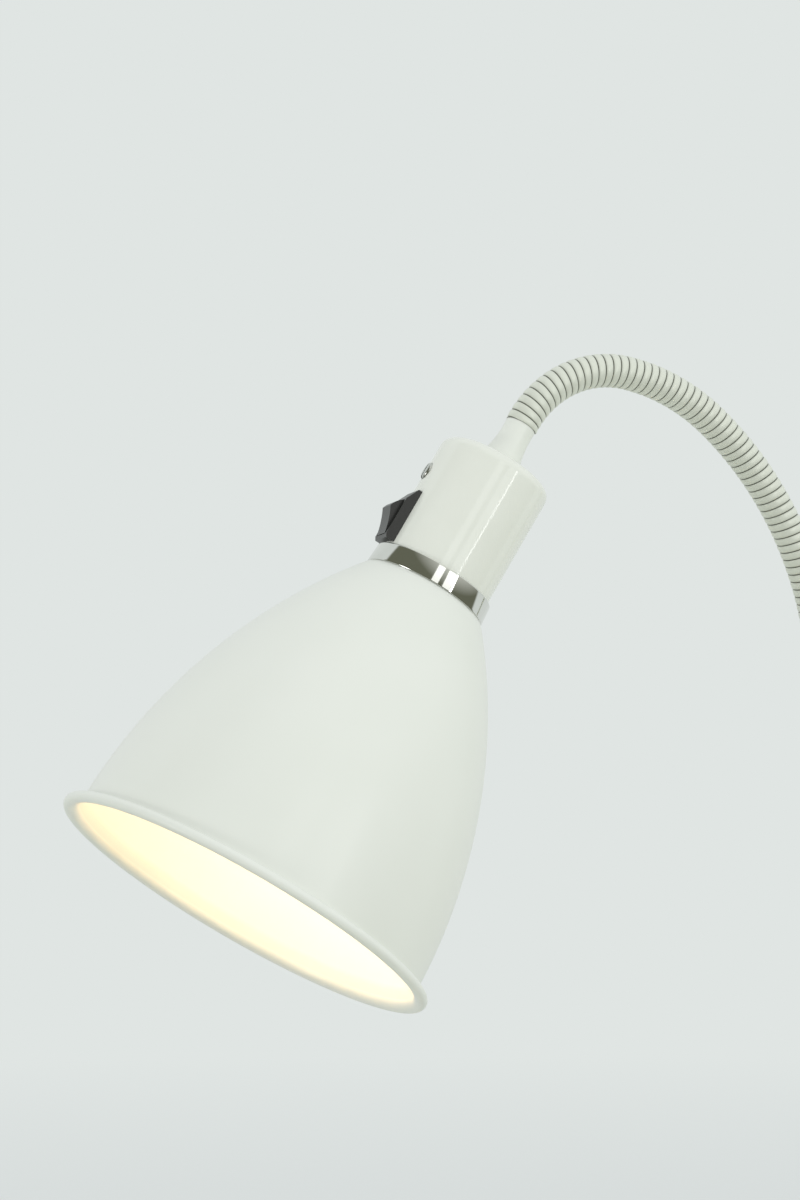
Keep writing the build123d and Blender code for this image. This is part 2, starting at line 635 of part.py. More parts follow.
FLOOR_Z = -17.0
CHIN_X, CHIN_R, CHIN_TURN = -20.0, 65.0, 33.5       # the floor curves up to the nose,
GRIP_X, GRIP_R, GRIP_TURN = -60.0, 80.0, 30.0       # and down along the handle
LOWER_INNER_Y = LOWER_Y - CLIP_WALL
with BuildPart() as lower_lever:
    with BuildSketch(Plane.XZ):
        with BuildLine():
            chin = JernArc((CHIN_X, FLOOR_Z), (1, 0), CHIN_R, CHIN_TURN)
            grip = JernArc((GRIP_X, FLOOR_Z), (-1, 0), GRIP_R, GRIP_TURN)
            Line(chin @ 0, grip @ 0)
            heel = grip @ 1 + Vector(-1.5, 3.6)
            back = ThreePointArc(heel, (-84.0, -13.5), (-64.0, -8.0))
            Line(grip @ 1, heel)
            Polyline(
                back @ 1, (-50.0, 0.0), (-34.0, 0.0), (-28.0, -8.5), (-NOSE_X, -8.5),
                (-NOSE_X, -PAD_GAP - SEAT_Z), (NOSE_X, -PAD_GAP - SEAT_Z), chin @ 1,
            )
        make_face()
        with Locations((PIVOT_X, PIVOT_Z)):
            Circle(LOWER_EAR_R)
    extrude(amount=LOWER_Y, both=True)
    with BuildSketch(Plane.XZ):
        with BuildLine():
            trough = JernArc(
                (GRIP_X, FLOOR_Z + CLIP_WALL), (-1, 0), GRIP_R + CLIP_WALL, GRIP_TURN - 3
            )
            Polyline(
                trough @ 1, (-98.0, 9.0), (-19.0, 9.0), (-19.0, FLOOR_Z + CLIP_WALL), trough @ 0
            )
        make_face()
    extrude(amount=LOWER_INNER_Y, both=True, mode=Mode.SUBTRACT)
    slab([(-12.0, 0), (11.0, 0), (11.0, -7.2), (-2.0, -11.4), (-12.0, -13.6)],
         LOWER_INNER_Y, Mode.SUBTRACT)
    with BuildSketch(PIVOT):
        Circle(PIN_R + 0.06)
    extrude(amount=HALF, both=True, mode=Mode.SUBTRACT)
keep("lower_lever", lower_lever)

# ---- pivot pin, with a head on one side and a pushed on washer on the other
with BuildPart() as pin:
    with BuildSketch(PIVOT.offset(-HALF)):
        Circle(PIN_R)
    extrude(amount=CLIP_WIDTH + 2.2)
    with BuildSketch(PIVOT.offset(-HALF - 1.6)):
        Circle(4.4)
    extrude(amount=1.6)
    fillet(pin.edges().group_by(Axis.Y)[-1], 0.8)
keep("pivot_pin", pin)
with BuildPart() as retainer:
    with BuildSketch(PIVOT.offset(HALF)):
        Circle(4.6)
        Circle(PIN_R, mode=Mode.SUBTRACT)
    extrude(amount=1.2)
keep("pin_retainer", retainer)

# ---- torsion spring about the pin: the coil's outer shape and the legs that press on the levers
COIL_R, SPRING_WIRE_R, COIL_HALF = 6.4, 0.8, 8.0
LEG_R = COIL_R - SPRING_WIRE_R
LEGS = [((-1, LEG_R), (-57.5, 5.3)), ((1, -LEG_R), (-64.0, -13.2))]
with BuildPart() as spring:
    with BuildSketch(PIVOT):
        Circle(COIL_R)
        Circle(COIL_R - 2 * SPRING_WIRE_R, mode=Mode.SUBTRACT)
    extrude(amount=COIL_HALF, both=True)
    for (side, rise), (leg_x, leg_z) in LEGS:
        leg_y = side * (COIL_HALF - SPRING_WIRE_R - 0.2)
        with BuildLine() as leg:
            Line((PIVOT_X - 1.5, leg_y, PIVOT_Z + 0.95 * rise), (leg_x, leg_y, leg_z))
        with BuildSketch(Plane(origin=leg.line @ 0, z_dir=leg.line % 0)):
            Circle(SPRING_WIRE_R)
        sweep(path=leg.line)
keep("clip_spring", spring)

# ---- ribbed rubber pads, each with a tongue pressed into its jaw
GROOVES = [-12.0 + 4.0 * i for i in range(7)]


def pad(face_z, up, half_y, tongue_y):
    """Up is 1 for the pad whose back is above its face, -1 for the other."""
    with BuildPart() as rubber:
        with BuildSketch(Plane.XY.offset(face_z)):
            RectangleRounded(GRIP_LENGTH, 2 * half_y, 2.0)
        extrude(amount=up * PAD_THICK)
        with BuildSketch(Plane.XY.offset(face_z + up * PAD_THICK)):
            with Locations((-0.5, 0)):
                Rectangle(22.8, 2 * tongue_y)
        extrude(amount=up * 2.0)
        with BuildSketch(Plane.XY.offset(face_z)):
            with Locations(*[(x, 0) for x in GROOVES]):
                Rectangle(1.2, 2 * half_y)
        extrude(amount=up * 0.8, mode=Mode.SUBTRACT)
    return rubber


keep("upper_pad", pad(0.0, 1, HALF - 1.5, HALF - 4.1))
keep("lower_pad", pad(-PAD_GAP, -1, LOWER_Y - 0.5, LOWER_Y - CLIP_WALL - 0.1))

# ---- inside the box: cover, terminal block, cord clamp, inlet bush and short leads
with BuildPart() as cover:
    with BuildSketch(Plane.XY.offset(BELLY_Z)):
        with Locations(((BOX_X[0] + BOX_X[1]) / 2, 0)):
            Rectangle(BOX_X[1] - BOX_X[0] - 0.2, 2 * INNER_Y - 0.2)
        with Locations(*COVER_XY):
            Circle(1.6, mode=Mode.SUBTRACT)
    extrude(amount=COVER_THICK)
keep("clip_cover", cover)


def screws(spots, seat_z, head_h, length):
    """Screws driven upwards, their heads below the seat."""
    with BuildPart() as group:
        with BuildSketch(Plane.XY.offset(seat_z - head_h)):
            with Locations(*spots):
                Circle(2.3)
        extrude(amount=head_h)
        with BuildSketch(Plane.XY.offset(seat_z)):
            with Locations(*spots):
                Circle(1.25)
        extrude(amount=length)
    return group


keep("cover_screws", screws(COVER_XY, BELLY_Z, 1.2, 9.0))
CLAMP_LOW, CLAMP_THICK = 11.0, 1.8
with BuildPart() as clamp:
    with BuildSketch(Plane.XY.offset(CLAMP_LOW)):
        with Locations((INLET_X, CLAMP_Y)):
            SlotOverall(15.7, 5.0)
        with Locations(*CLAMP_XY):
            Circle(1.5, mode=Mode.SUBTRACT)
    extrude(amount=CLAMP_THICK)
keep("cord_clamp", clamp)
keep("clamp_screws", screws(CLAMP_XY, CLAMP_LOW, 1.3, 8.0))

BLOCK_X, BLOCK_Y, BLOCK_LOW = (-50.0, -37.5), (-13.0, 3.0), 14.4
with BuildPart() as block:
    with BuildSketch(Plane.XY.offset(BLOCK_LOW)):
        with Locations((sum(BLOCK_X) / 2, sum(BLOCK_Y) / 2)):
            Rectangle(BLOCK_X[1] - BLOCK_X[0], BLOCK_Y[1] - BLOCK_Y[0])
    extrude(amount=roof_low - BLOCK_LOW)
    with BuildSketch(Plane.XY.offset(BLOCK_LOW)):
        with Locations(*[(x, y) for x in (-47.0, -40.5) for y in (-9.0, -1.0)]):
            Circle(1.6)
    extrude(amount=4, mode=Mode.SUBTRACT)
keep("terminal_block", block)
clip_route = [(NECK_X, CLIP_LEAD_TOP), (NECK_X, 12.4), (BLOCK_X[1], 17.4)]
for name, offset in (("clip_lead_live", -1.1), ("clip_lead_neutral", 1.1)):
    keep(name, wire(
        Plane(origin=(0, offset, 0), x_dir=(1, 0, 0), z_dir=(0, -1, 0)), clip_route, 1.8, CORE_R
    ))

# the inlet bush snaps into the box's far wall, and the supply cord comes in through its bore
BUSH = Plane(origin=(INLET_X, INNER_Y - 1.4, INLET_Z), x_dir=(-1, 0, 0), z_dir=(0, 1, 0))
with BuildPart() as bush:
    with BuildSketch(BUSH):
        Circle(6.2)
    extrude(amount=1.4)
    with BuildSketch(BUSH):
        Circle(4.98)
    extrude(amount=CLIP_WALL + 1.4)
    with BuildSketch(BUSH.offset(CLIP_WALL + 1.4)):
        Circle(6.6)
    extrude(amount=2.2)
    fillet(bush.edges().group_by(Axis.Y)[-1], 0.9)
    with BuildSketch(BUSH.offset(-1)):
        Circle(INLET_BORE_R)
    extrude(amount=12, mode=Mode.SUBTRACT)
keep("inlet_bush", bush)
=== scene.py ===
import json
from cmath import phase, rect
from math import atan, cos, degrees, pi, radians, sin, sqrt, tan

import bmesh
import bpy
from mathutils import Matrix, Vector


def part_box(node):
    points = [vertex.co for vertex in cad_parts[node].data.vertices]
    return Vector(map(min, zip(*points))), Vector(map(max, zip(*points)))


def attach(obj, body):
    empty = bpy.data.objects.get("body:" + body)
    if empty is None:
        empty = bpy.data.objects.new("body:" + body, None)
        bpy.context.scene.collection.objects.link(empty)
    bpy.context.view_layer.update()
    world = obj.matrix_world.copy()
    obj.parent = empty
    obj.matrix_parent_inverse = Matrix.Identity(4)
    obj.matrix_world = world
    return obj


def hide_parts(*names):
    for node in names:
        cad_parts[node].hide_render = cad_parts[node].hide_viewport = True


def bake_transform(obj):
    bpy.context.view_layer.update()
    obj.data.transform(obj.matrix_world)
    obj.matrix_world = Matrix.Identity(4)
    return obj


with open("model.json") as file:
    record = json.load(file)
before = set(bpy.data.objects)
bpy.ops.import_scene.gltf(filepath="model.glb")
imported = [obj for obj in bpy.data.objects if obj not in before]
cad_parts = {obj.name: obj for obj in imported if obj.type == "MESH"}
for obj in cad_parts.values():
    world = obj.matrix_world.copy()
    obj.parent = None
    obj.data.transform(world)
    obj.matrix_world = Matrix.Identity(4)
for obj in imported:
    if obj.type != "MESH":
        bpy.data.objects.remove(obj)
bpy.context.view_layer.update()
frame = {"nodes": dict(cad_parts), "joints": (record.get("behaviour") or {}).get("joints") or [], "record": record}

# Clip on reading lamp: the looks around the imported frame. Metres, in the frame's own axes: at rest
# the neck lies in the XZ plane, +Z is up and the head is towards -X.

MM = 0.001
ACROSS = Vector((0, 1, 0))
UP = Vector((0, 0, 1))
joints = {joint["name"]: joint for joint in frame["joints"]}
slot_of = {part["node"]: part["material_slot"] for part in frame["record"]["subparts"]}

# ---- driving dimensions that the frame doesn't give, in millimetres
SHADE_WALL = 0.8
SHADE_ARC_R = 157.9         # the bell's side is one arc, with its centre this far out and up
SHADE_ARC_HEIGHT = 1.0
SHADE_ARC_RADIUS = -107.1
SHADE_LIP = 4.5             # below this height the side runs into the crease above the bead
BEAD_R = 1.5
HOLDER_HOLE_R = 13.3
FERRULE_R = 4.3
FERRULE_WAIST = (4.85, 143.5)   # radius and height above the mouth
SPIGOT = 3.0                # the ferrule's spigot goes this far into the neck
WIND_PITCH = 2.27           # from one groove of the neck to the next
GROOVE_DEPTH, GROOVE_WIDTH = 0.34, 0.28
BEND_REACH = 18.0           # a reach at either side of a joint; the spots neck() works out from it are not used
SPRING_WIRE_R = 0.8
SPRING_TURNS = 7.5
SPRING_LEG_Y = 7.0
SPRING_TIPS = [(-57.5, 5.3), (-64.0, -13.2)]    # x and z where each leg presses on its lever
FINE_TURN = 224             # faces round the largest turned pieces


# ================================================================ places, from the frame
def span(node, direction):
    """How far a CAD node reaches along a direction, lowest and highest."""
    reach = [direction.dot(corner.co) for corner in frame["nodes"][node].data.vertices]
    return min(reach), max(reach)


axle = Vector(joints["rocker_tip"]["axis"])
HEAD_UP = axle.cross(ACROSS).normalized()
HEAD_SIDE = HEAD_UP.cross(ACROSS)                  # across the head, in the neck's plane
SWITCH_OUT = HEAD_UP.cross(axle)                   # out through the rocker switch
mouth_height, shade_top_height = span("shade", HEAD_UP)
MOUTH = HEAD_SIDE * (sum(span("shade", HEAD_SIDE)) / 2) + HEAD_UP * mouth_height
HEAD = Matrix.Translation(MOUTH) @ Matrix((SWITCH_OUT, -axle, HEAD_UP)).transposed().to_4x4()


def heights(node):
    """A head node's lowest and highest point above the mouth, in millimetres."""
    low, high = span(node, HEAD_UP)
    return (low - mouth_height) / MM, (high - mouth_height) / MM


def widest(node):
    """Radius of a turned head node, in millimetres."""
    low, high = span(node, ACROSS)
    return (high - low) / 2 / MM


SHADE_TOP = heights("shade")[1]
BEAD_PITCH_R = widest("shade") - BEAD_R
SEAM = heights("head_ferrule")[1] - SPIGOT
PIVOT = Vector(joints["jaw_open"]["pos_m"])
NECK_R = widest("neck_tube_1")

# ================================================================ small helpers
def linear(code):
    """An sRGB hex colour as linear red, green, blue and alpha."""
    shares = [int(code[i:i + 2], 16) / 255 for i in (1, 3, 5)]
    return [c / 12.92 if c <= 0.04045 else ((c + 0.055) / 1.055) ** 2.4 for c in shares] + [1.0]


def add(tree, kind, settings=None, links=None):
    """Adds a node, sets its properties and sockets, and feeds its sockets from other nodes."""
    node = tree.nodes.new("ShaderNode" + kind)
    for key, value in (settings or {}).items():
        if isinstance(key, str) and hasattr(node, key):
            setattr(node, key, value)
        else:
            node.inputs[key].default_value = value
    for key, source in (links or {}).items():
        tree.links.new(source, node.inputs[key])
    return node


def between(tree, share, low, high):
    """A colour between two hex colours, by a share from 0 to 1."""
    blend = add(tree, "Mix", {"data_type": "RGBA", 6: linear(low), 7: linear(high)}, {0: share})
    return blend.outputs[2]


def ranged(tree, share, low, high):
    """A number between two numbers, by a share from 0 to 1."""
    return add(tree, "MapRange", {"To Min": low, "To Max": high}, {"Value": share}).outputs[0]


def noise(tree, place, size, detail):
    """A soft noise with patches about so many millimetres across."""
    cloud = add(tree, "TexNoise", {"Scale": 1 / size, "Detail": detail}, {"Vector": place})
    return cloud.outputs["Fac"]


def begin(name):
    """A new material with an empty tree, and its place coordinates in millimetres."""
    material = bpy.data.materials.new(name)
    material.use_nodes = True
    material.node_tree.nodes.clear()
    tree = material.node_tree
    place = add(tree, "TexCoord")
    scaled = add(tree, "VectorMath", {"operation": "SCALE", "Scale": 1 / MM},
                 {0: place.outputs["Object"]})
    return material, tree, scaled.outputs[0]


def close(tree, shader):
    """Ends a material's tree with its shader."""
    add(tree, "OutputMaterial", {}, {"Surface": shader.outputs[0]})


def mesh_piece(name, corners, faces, crease=40):
    """A smooth mesh with sharp edges where its faces meet at more than so many degrees."""
    mesh = bpy.data.meshes.new(name)
    mesh.from_pydata(corners, [], faces)
    mesh.validate()
    mesh.shade_smooth()
    mesh.set_sharp_from_angle(angle=radians(crease))
    piece = bpy.data.objects.new(name, mesh)
    bpy.context.scene.collection.objects.link(piece)
    return piece


def arc(centre, radius, start, end, steps):
    """Points on an arc, from one angle to another in degrees."""
    angles = [radians(start + (end - start) * i / steps) for i in range(steps + 1)]
    return [(centre[0] + radius * cos(a), centre[1] + radius * sin(a)) for a in angles]


def through(first, middle, last, steps):
    """Points on the arc that goes through three places."""
    a, b, c = complex(*first), complex(*middle), complex(*last)
    ratio = (c - a) / (b - a)
    centre = a + (b - a) * (ratio - abs(ratio) ** 2) / (2j * ratio.imag)
    turn = phase((c - centre) / (a - centre))
    spots = [centre + (a - centre) * rect(1, turn * i / steps) for i in range(steps + 1)]
    return [(spot.real, spot.imag) for spot in spots]


def rounded(corners, steps=5):
    """A closed outline whose corners (x, y, fillet) are rounded off."""
    points = []
    for i, (x, y, fillet) in enumerate(corners):
        here = complex(x, y)
        before = complex(*corners[i - 1][:2]) - here
        after = complex(*corners[(i + 1) % len(corners)][:2]) - here
        if not fillet:
            points.append((x, y))
            continue
        before, after = before / abs(before), after / abs(after)
        half = abs(phase(after / before)) / 2
        bisector = (before + after) / abs(before + after)
        centre = here + bisector * fillet / sin(half)
        first = here + before * fillet / tan(half) - centre
        turn = phase((here + after * fillet / tan(half) - centre) / first)
        for k in range(steps + 1):
            spot = centre + first * rect(1, turn * k / steps)
            points.append((spot.real, spot.imag))
    return points


def turned(name, outline, place, segments=160, crease=40):
    """A piece turned about a place's z axis from a closed outline of (radius, height) in mm."""
    corners, faces = [], []
    for radius, height in outline:
        for k in range(segments):
            angle = 2 * pi * k / segments
            spot = Vector((radius * cos(angle), radius * sin(angle), height)) * MM
            corners.append(place @ spot)
    rings = len(outline)
    for i in range(rings):
        a, b = i * segments, (i + 1) % rings * segments
        if outline[i][0] < 1e-6 and outline[(i + 1) % rings][0] < 1e-6:
            continue
        for k in range(segments):
            n = (k + 1) % segments
            faces.append((a + k, a + n, b + n, b + k))
    return welded(mesh_piece(name, corners, faces, crease), crease)


def welded(piece, crease):
    """Joins corners that share a place, so that poles and closed ends are whole."""
    work = bmesh.new()
    work.from_mesh(piece.data)
    bmesh.ops.remove_doubles(work, verts=work.verts, dist=1e-7)
    bmesh.ops.dissolve_degenerate(work, edges=work.edges, dist=1e-8)
    bmesh.ops.recalc_face_normals(work, faces=work.faces)
    work.to_mesh(piece.data)
    work.free()
    piece.data.shade_smooth()
    piece.data.set_sharp_from_angle(angle=radians(crease))
    return piece


def dress(piece, slot, finish, body, *nodes):
    """Gives a piece its finish, its body, and the CAD nodes that it stands for."""
    piece.data.materials.append(finish)
    if body:
        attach(piece, body)
    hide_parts(*nodes)
    return piece


# ================================================================ materials
def stove_enamel():
    """Stove enamel sprayed on steel: satin, with a fine orange peel that softens highlights."""
    material, tree, place = begin("stove_enamel_satin")
    cloud = noise(tree, place, 38, 2.0)
    tint = between(tree, cloud, "#E9ECE2", "#EFF1E9")
    peel = noise(tree, place, 1.4, 3.0)
    bump = add(tree, "Bump", {"Strength": 0.12, "Distance": 0.03 * MM}, {"Height": peel})
    haze = ranged(tree, cloud, 0.34, 0.44)
    close(tree, add(tree, "BsdfPrincipled", {"IOR": 1.5, "Coat Weight": 0.25, "Coat Roughness": 0.2}, {
        "Base Color": tint, "Roughness": haze, "Normal": bump.outputs[0]}))
    return material


def polished_chrome():
    """Chrome plated on a turned ring: mirror bright, with faint smears in its polish."""
    material, tree, place = begin("chrome_polished")
    smear = noise(tree, place, 6, 4.0)
    haze = ranged(tree, smear, 0.03, 0.09)
    tone = between(tree, smear, "#DADBD6", "#E6E7E3")
    close(tree, add(tree, "BsdfPrincipled", {"Metallic": 1.0}, {
        "Base Color": tone, "Roughness": haze}))
    return material


def gloss_abs():
    """ABS moulded in a polished tool: glossy, with the slight waviness of a cooled moulding."""
    material, tree, place = begin("abs_gloss_moulded")
    sink = noise(tree, place, 9, 1.0)
    tone = between(tree, sink, "#EAECE1", "#EEF0E6")
    bump = add(tree, "Bump", {"Strength": 0.05, "Distance": 0.05 * MM}, {"Height": sink})
    haze = ranged(tree, sink, 0.08, 0.12)
    close(tree, add(tree, "BsdfPrincipled", {"IOR": 1.52}, {
        "Base Color": tone, "Roughness": haze, "Normal": bump.outputs[0]}))
    return material


def satin_abs():
    """ABS moulded in a spark-eroded tool: an even satin grain. Its 0.1 mm grain is drawn at 0.4."""
    material, tree, place = begin("abs_satin_moulded")
    grain = noise(tree, place, 0.4, 2.0)
    cloud = noise(tree, place, 30, 2.0)
    tone = between(tree, cloud, "#E6E8E0", "#ECEEE7")
    bump = add(tree, "Bump", {"Strength": 0.25, "Distance": 0.02 * MM}, {"Height": grain})
    haze = ranged(tree, grain, 0.34, 0.46)
    close(tree, add(tree, "BsdfPrincipled", {"IOR": 1.52}, {
        "Base Color": tone, "Roughness": haze, "Normal": bump.outputs[0]}))
    return material


def enamelled_neck():
    """Enamel on wound steel strip: satin on the bands, with painted shade darkening the grooves."""
    material, tree, place = begin("neck_enamel_satin")
    groove = add(tree, "Attribute", {"attribute_name": "groove"})
    cloud = noise(tree, place, 5, 3.0)
    tone = between(tree, cloud, "#E2E5D8", "#E9ECDF")
    # painted shade: where the groove attribute is high, the enamel is darkened towards a dark grey
    groove_shaded = add(tree, "Mix", {"data_type": "RGBA", 7: linear("#5C5E52")},
                {0: groove.outputs["Fac"], 6: tone})
    haze = ranged(tree, cloud, 0.38, 0.5)
    close(tree, add(tree, "BsdfPrincipled", {"IOR": 1.5, "Metallic": 0.2}, {
        "Base Color": groove_shaded.outputs[2], "Roughness": haze}))
    return material


def black_nylon():
    """Nylon moulded with a fine matt grain: deep black with a soft grey sheen."""
    material, tree, place = begin("nylon_black_matt")
    grain = noise(tree, place, 0.35, 2.0)
    tone = between(tree, grain, "#1E1F1D", "#262725")
    bump = add(tree, "Bump", {"Strength": 0.2, "Distance": 0.02 * MM}, {"Height": grain})
    haze = ranged(tree, grain, 0.28, 0.4)
    close(tree, add(tree, "BsdfPrincipled", {"IOR": 1.53}, {
        "Base Color": tone, "Roughness": haze, "Normal": bump.outputs[0]}))
    return material


def grip_rubber():
    """Moulded rubber: near black, dull, with a dusty bloom."""
    material, tree, place = begin("rubber_moulded_matt")
    bloom = noise(tree, place, 4, 4.0)
    tone = between(tree, bloom, "#1C1C1B", "#2E2E2C")
    grain = noise(tree, place, 0.3, 2.0)
    bump = add(tree, "Bump", {"Strength": 0.35, "Distance": 0.03 * MM}, {"Height": grain})
    haze = ranged(tree, bloom, 0.62, 0.8)
    close(tree, add(tree, "BsdfPrincipled", {"IOR": 1.52}, {
        "Base Color": tone, "Roughness": haze, "Normal": bump.outputs[0]}))
    return material


def plated_steel():
    """Zinc plated steel: bright, slightly blue grey, with a cloudy passivated film."""
    material, tree, place = begin("steel_zinc_plated")
    film = noise(tree, place, 1.6, 3.0)
    tone = between(tree, film, "#C4C6C2", "#DADBD7")
    haze = ranged(tree, film, 0.22, 0.38)
    close(tree, add(tree, "BsdfPrincipled", {"Metallic": 1.0}, {
        "Base Color": tone, "Roughness": haze}))
    return material


def bright_brass():
    """Stamped brass: warm yellow, going brown where it has tarnished."""
    material, tree, place = begin("brass_stamped")
    tarnish = noise(tree, place, 2.5, 4.0)
    tone = between(tree, tarnish, "#B08A4A", "#D8BC74")
    haze = ranged(tree, tarnish, 0.2, 0.4)
    close(tree, add(tree, "BsdfPrincipled", {"Metallic": 1.0}, {
        "Base Color": tone, "Roughness": haze}))
    return material


def moulded_resin():
    """Urea resin pressed in a steel mould: cream white with faint flow marks."""
    material, tree, place = begin("resin_urea_moulded")
    flow = add(tree, "TexNoise", {"Scale": 1 / 7, "Detail": 3.0, "Distortion": 1.5}, {"Vector": place})
    tone = between(tree, flow.outputs["Fac"], "#DDD9CC", "#E9E6DC")
    haze = ranged(tree, flow.outputs["Fac"], 0.25, 0.38)
    close(tree, add(tree, "BsdfPrincipled", {"IOR": 1.54}, {
        "Base Color": tone, "Roughness": haze}))
    return material


def lit_opal():
    """Opal glass lit from inside: warm on one side, whiter where its core stands nearer."""
    material, tree, place = begin("glass_opal_lit")
    white_end, warm_end = span("bulb_glass", HEAD_SIDE)
    lean = add(tree, "VectorMath", {"operation": "DOT_PRODUCT", 1: HEAD_SIDE}, {0: place})
    warmth = add(tree, "MapRange", {"From Min": white_end / MM, "From Max": warm_end / MM},
                 {"Value": lean.outputs["Value"]})
    glow = between(tree, warmth.outputs[0], "#FFEBD4", "#FFC284")
    power = ranged(tree, warmth.outputs[0], 7.6, 4.6)
    close(tree, add(tree, "BsdfPrincipled", {
        "IOR": 1.5, "Roughness": 0.12, "Base Color": linear("#FBF6EA"),
    }, {"Emission Color": glow, "Emission Strength": power}))
    return material


def insulation(name, dark, light):
    """Extruded PVC on a wire: smooth and waxy, with patches a shade darker."""
    material, tree, place = begin(name)
    drift = noise(tree, place, 8, 2.0)
    tone = between(tree, drift, dark, light)
    haze = ranged(tree, drift, 0.32, 0.45)
    close(tree, add(tree, "BsdfPrincipled", {"IOR": 1.53}, {
        "Base Color": tone, "Roughness": haze}))
    return material


FINISHES = {
    "white_enamel": stove_enamel(),
    "housing_plastic": gloss_abs(),
    "clip_plastic": satin_abs(),
    "neck_enamel": enamelled_neck(),
    "chrome": polished_chrome(),
    "steel": plated_steel(),
    "brass": bright_brass(),
    "black_plastic": black_nylon(),
    "rubber": grip_rubber(),
    "holder_plastic": moulded_resin(),
    "bulb_glass": lit_opal(),
    "core_blue": insulation("pvc_core_blue", "#2A4E93", "#3660AB"),
    "core_brown": insulation("pvc_core_brown", "#5B3A24", "#6E482F"),
    "lead_sheath": insulation("pvc_sheath_white", "#DEDED8", "#E8E8E3"),
}
for node, solid in frame["nodes"].items():
    solid.data.materials.clear()
    solid.data.materials.append(FINISHES[slot_of[node]])


# ================================================================ the head
def bell_r(height, inset=0.0):
    """Radius of the bell's side at a height, or of a surface set in from it."""
    return SHADE_ARC_RADIUS + sqrt((SHADE_ARC_R - inset) ** 2 - (height - SHADE_ARC_HEIGHT) ** 2)


def bell_shade():
    """The spun bell: its side, the flange at the top, and the edge rolled outwards over a bead."""
    flange_low = SHADE_TOP - SHADE_WALL
    bend_top = flange_low - 1.2
    steps = 64
    rise = [SHADE_TOP - (SHADE_TOP - SHADE_LIP) * i / steps for i in range(steps + 1)]
    outside = [(bell_r(h), h) for h in rise]
    outside[0] = (outside[0][0] - 0.5, SHADE_TOP)
    outside.insert(1, (bell_r(SHADE_TOP - 0.15) - 0.1, SHADE_TOP - 0.15))
    inside = [(bell_r(h, SHADE_WALL), h) for h in reversed(rise) if h < bend_top]
    crease = [(bell_r(3.6) + 0.1, 3.6), (bell_r(2.7) + 0.5, 2.7), (bell_r(1.9) + 0.8, 1.9)]
    bead = arc((BEAD_PITCH_R, BEAD_R), BEAD_R, 160, -100, 44)
    lip = through((BEAD_PITCH_R - 0.25, 0.02), (BEAD_PITCH_R - 1.5, 0.45),
                  (bell_r(2.7, SHADE_WALL) + 0.65, 2.7), 10)
    turn_in = [(bell_r(flange_low - 0.5, SHADE_WALL) - 0.3, flange_low - 0.3),
               (bell_r(flange_low, SHADE_WALL) - 1.4, flange_low)]
    hole = [(HOLDER_HOLE_R, flange_low), (HOLDER_HOLE_R, SHADE_TOP)]
    outline = outside + crease + bead + lip + inside + turn_in + hole
    return turned("bell_shade", outline, HEAD, FINE_TURN, 50)


def trim_ring():
    """The plated ring between the shade and the housing, its edges just broken."""
    low, high = heights("chrome_ring")
    low_r = widest("chrome_ring")
    high_r, bore_r, recess_r, recess_top = low_r - 0.35, low_r - 4.4, low_r - 3.5, low + 1.5
    return turned("trim_ring", rounded([
        (recess_r, low, 0), (low_r, low, 0.35), (high_r, high, 0.45),
        (bore_r, high, 0), (bore_r, recess_top, 0), (recess_r, recess_top, 0),
    ]), HEAD, FINE_TURN)


def bulb_ball():
    """The opal ball, closed above by its collar."""
    low = heights("bulb_glass")[0]
    cut = heights("bulb_collar")[0]
    radius = widest("bulb_glass")
    centre = (0, low + radius)
    top = degrees(atan((cut - centre[1]) / sqrt(radius**2 - (cut - centre[1]) ** 2)))
    wall = 1.2
    outline = arc(centre, radius, -90, top, 40) + arc(centre, radius - wall, top, -90, 40)
    return turned("bulb_ball", outline, HEAD, 96)


def flared_ferrule():
    """The turned ferrule that the neck goes into, widening where it sits on the housing."""
    low, high = heights("head_ferrule")
    foot_r = widest("head_ferrule")
    flare = [(foot_r, low)]
    flare += through((foot_r, low + 0.4), FERRULE_WAIST, (FERRULE_R, SEAM - 0.3), 24)
    spigot_r, bore_r = 3.2, 2.7
    nose = [(FERRULE_R - 0.12, SEAM), (spigot_r, SEAM), (spigot_r, high), (bore_r, high), (bore_r, low)]
    return turned("flared_ferrule", flare + nose, HEAD, 96)


# ================================================================ the neck's line
def neck_line():
    """The neck's centre line as arcs: each is (start, heading, radius or 0, length)."""
    bends = [joints[f"bend_{i}"]["pos_m"] for i in range(1, 9)]
    spots = [complex(x, z) for x, y, z in bends]
    socket_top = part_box("neck_socket")[1].z - SPIGOT * MM
    here, heading = complex(spots[0].real, socket_top), pi / 2
    pieces = []
    for spot in spots:
        chord = spot - here
        half = phase(chord / rect(1, heading))
        radius = 0 if abs(half) < 1e-4 else abs(chord) / 2 / sin(half)
        length = 2 * half * radius if radius else abs(chord)
        pieces.append((here, heading, radius, length))
        here, heading = spot, heading + 2 * half
    seam = MOUTH + HEAD_UP * SEAM * MM
    end_heading = phase(complex(-HEAD_UP.x, -HEAD_UP.z)) % (2 * pi)
    turn = end_heading - heading
    pieces.append((here, heading, radius, turn * radius))
    here += radius * (rect(1, end_heading) - rect(1, heading)) / 1j
    pieces.append((here, end_heading, 0, abs(complex(seam.x, seam.z) - here)))
    return pieces


NECK_LINE = neck_line()
NECK_LENGTH = sum(piece[3] for piece in NECK_LINE)
BEND_AT = [sum(piece[3] for piece in NECK_LINE[:i]) for i in range(1, 9)]


def neck_spot(along):
    """The neck's centre and its heading at a distance along it."""
    left = along
    for start, heading, radius, length in NECK_LINE:
        if left <= length or (start, heading) == NECK_LINE[-1][:2]:
            break
        left -= length
    turn = left / radius if radius else 0
    if radius:
        spot = start + radius * (rect(1, heading + turn) - rect(1, heading)) / 1j
    else:
        spot = start + rect(left, heading)
    return Vector((spot.real, 0, spot.imag)), heading + turn


